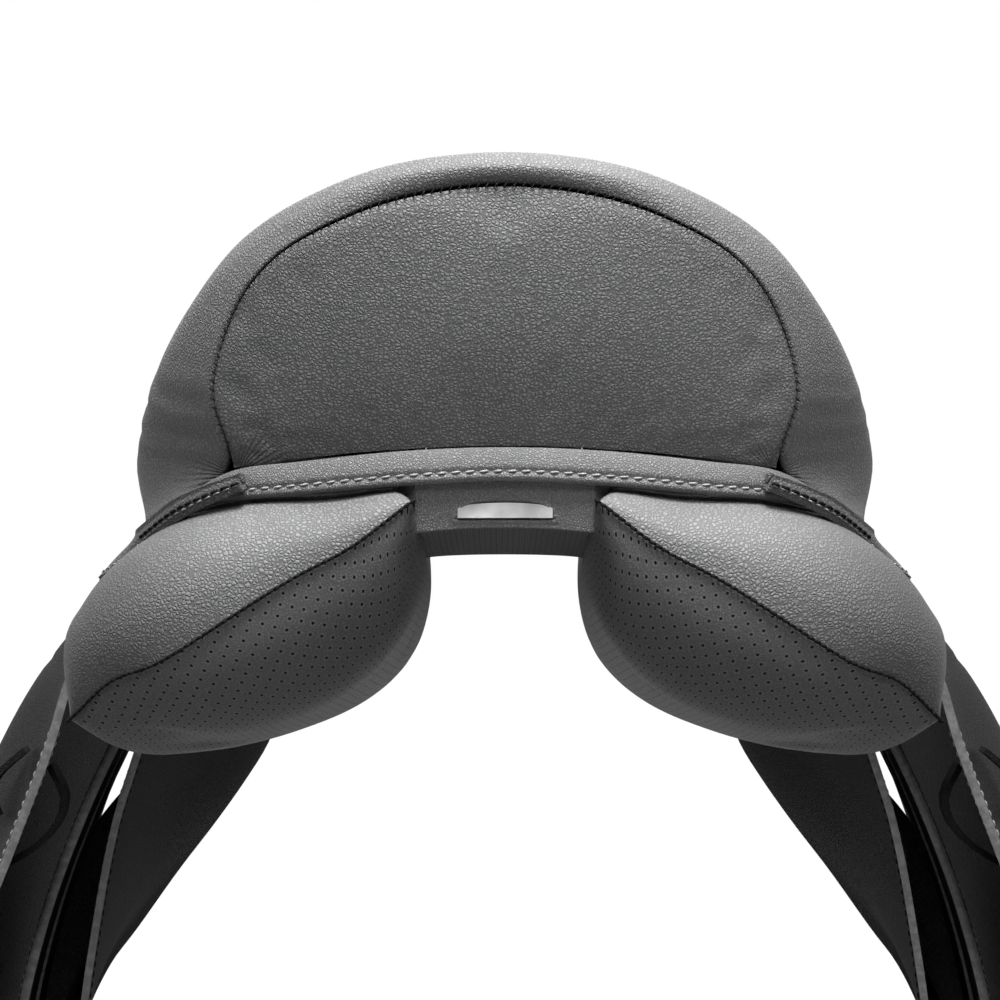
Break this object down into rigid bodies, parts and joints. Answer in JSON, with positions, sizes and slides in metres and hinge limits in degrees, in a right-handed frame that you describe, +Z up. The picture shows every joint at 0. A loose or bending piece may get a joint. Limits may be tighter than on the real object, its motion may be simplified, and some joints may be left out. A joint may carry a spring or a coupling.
{
  "type": "dressage saddle",
  "caption": "Dressage saddle with a deep seat, padded cantle, perforated air panels, long straight flaps over knee blocks, and paired girth straps.",
  "frame": {"origin": "top of the channel between the panels at the waist of the seat, on the centre plane, over the spine of the horse", "axes": "+Y forward to the pommel, +X to the rider's right, +Z up"},
  "size_m": [0.5378, 0.491, 0.635],
  "materials": {
    "hide_seat": "satin, fine grain",
    "hide_flap": "satin, pebbled grain",
    "hide_panel": "soft, perforated",
    "hide_strap": "waxed",
    "foam": "matte",
    "tree_plastic": "matte",
    "steel": "brushed",
    "webbing": "woven",
    "cushion_rubber": "matte",
    "badge_metal": "satin"
  },
  "bodies": {
    "saddle": {"air_cushion_front_left": "cushion_rubber", "air_cushion_front_right": "cushion_rubber", "air_cushion_rear_left": "cushion_rubber", "air_cushion_rear_right": "cushion_rubber", "badge": "badge_metal", "bar_rivet_front_left": "steel", "bar_rivet_front_right": "steel", "bar_rivet_rear_left": "steel", "bar_rivet_rear_right": "steel", "cantle_back": "hide_seat", "cantle_band": "hide_seat", "channel_lining": "hide_panel", "dee_tab_left": "hide_strap", "dee_tab_right": "hide_strap", "flap_head_left": "hide_flap", "flap_head_right": "hide_flap", "flap_stud_left": "steel", "flap_stud_right": "steel", "girth_web_front": "webbing", "girth_web_rear": "webbing", "gullet_plate": "steel", "gullet_screw_left": "steel", "gullet_screw_right": "steel", "gusset_left": "hide_panel", "gusset_right": "hide_panel", "knee_block_left": "foam", "knee_block_right": "foam", "panel_left": "hide_panel", "panel_right": "hide_panel", "pommel_facing": "hide_seat", "rear_facing": "hide_seat", "seat_cover": "hide_seat", "seat_foam": "foam", "skirt_tail_left": "hide_flap", "skirt_tail_right": "hide_flap", "stirrup_bar_left": "steel", "stirrup_bar_right": "steel", "sweat_flap_left": "hide_flap", "sweat_flap_right": "hide_flap", "tree": "tree_plastic"},
    "flap_left": {"flap_left": "hide_flap", "keeper_outer_left": "hide_strap", "keeper_inner_left": "hide_strap"},
    "skirt_left": {"skirt_left": "hide_flap"},
    "strap_rear_left": {"girth_strap_rear_left": "hide_strap"},
    "strap_front_left": {"girth_strap_front_left": "hide_strap"},
    "catch_left": {"bar_catch_left": "steel"},
    "dee_left": {"dee_ring_left": "steel"},
    "flap_right": {"flap_right": "hide_flap", "keeper_outer_right": "hide_strap", "keeper_inner_right": "hide_strap"},
    "skirt_right": {"skirt_right": "hide_flap"},
    "strap_rear_right": {"girth_strap_rear_right": "hide_strap"},
    "strap_front_right": {"girth_strap_front_right": "hide_strap"},
    "catch_right": {"bar_catch_right": "steel"},
    "dee_right": {"dee_ring_right": "steel"}
  },
  "joints": [
    {"name": "flap_lift_left", "type": "hinge", "parent": "saddle", "child": "flap_left", "pos_m": [-0.212, 0, -0.048], "axis": [0, 1, 0], "range_deg": [0, 70]},
    {"name": "skirt_lift_left", "type": "hinge", "parent": "saddle", "child": "skirt_left", "pos_m": [-0.1022, 0.0217, 0.0365], "axis": [0.208, 0.9362, 0.2832], "range_deg": [0, 50]},
    {"name": "strap_rear_swing_left", "type": "hinge", "parent": "saddle", "child": "strap_rear_left", "pos_m": [-0.1062, 0.008, 0.0081], "axis": [1, 0, 0], "range_deg": [-3.5, 3.5]},
    {"name": "strap_front_swing_left", "type": "hinge", "parent": "saddle", "child": "strap_front_left", "pos_m": [-0.1062, 0.056, 0.0081], "axis": [1, 0, 0], "range_deg": [-3.5, 3.5]},
    {"name": "catch_turn_left", "type": "hinge", "parent": "saddle", "child": "catch_left", "pos_m": [-0.09, 0.094, 0.014], "axis": [-0.933, 0, 0.36], "range_deg": [0, 90]},
    {"name": "dee_swing_left", "type": "hinge", "parent": "saddle", "child": "dee_left", "pos_m": [-0.0505, 0.2163, 0.07], "axis": [1, 0, 0], "range_deg": [0, 110]},
    {"name": "flap_lift_right", "type": "hinge", "parent": "saddle", "child": "flap_right", "pos_m": [0.212, 0, -0.048], "axis": [0, -1, 0], "range_deg": [0, 70]},
    {"name": "skirt_lift_right", "type": "hinge", "parent": "saddle", "child": "skirt_right", "pos_m": [0.1022, 0.0217, 0.0365], "axis": [0.208, -0.9362, -0.2832], "range_deg": [0, 50]},
    {"name": "strap_rear_swing_right", "type": "hinge", "parent": "saddle", "child": "strap_rear_right", "pos_m": [0.1062, 0.008, 0.0081], "axis": [1, 0, 0], "range_deg": [-3.5, 3.5]},
    {"name": "strap_front_swing_right", "type": "hinge", "parent": "saddle", "child": "strap_front_right", "pos_m": [0.1062, 0.056, 0.0081], "axis": [1, 0, 0], "range_deg": [-3.5, 3.5]},
    {"name": "catch_turn_right", "type": "hinge", "parent": "saddle", "child": "catch_right", "pos_m": [0.09, 0.094, 0.014], "axis": [-0.933, 0, -0.36], "range_deg": [0, 90]},
    {"name": "dee_swing_right", "type": "hinge", "parent": "saddle", "child": "dee_right", "pos_m": [0.0505, 0.2163, 0.07], "axis": [1, 0, 0], "range_deg": [0, 110]}
  ],
  "couplings": [
    {"joint": "strap_front_swing_left", "follows": "strap_rear_swing_left", "ratio": 1},
    {"joint": "strap_front_swing_right", "follows": "strap_rear_swing_right", "ratio": 1}
  ]
}
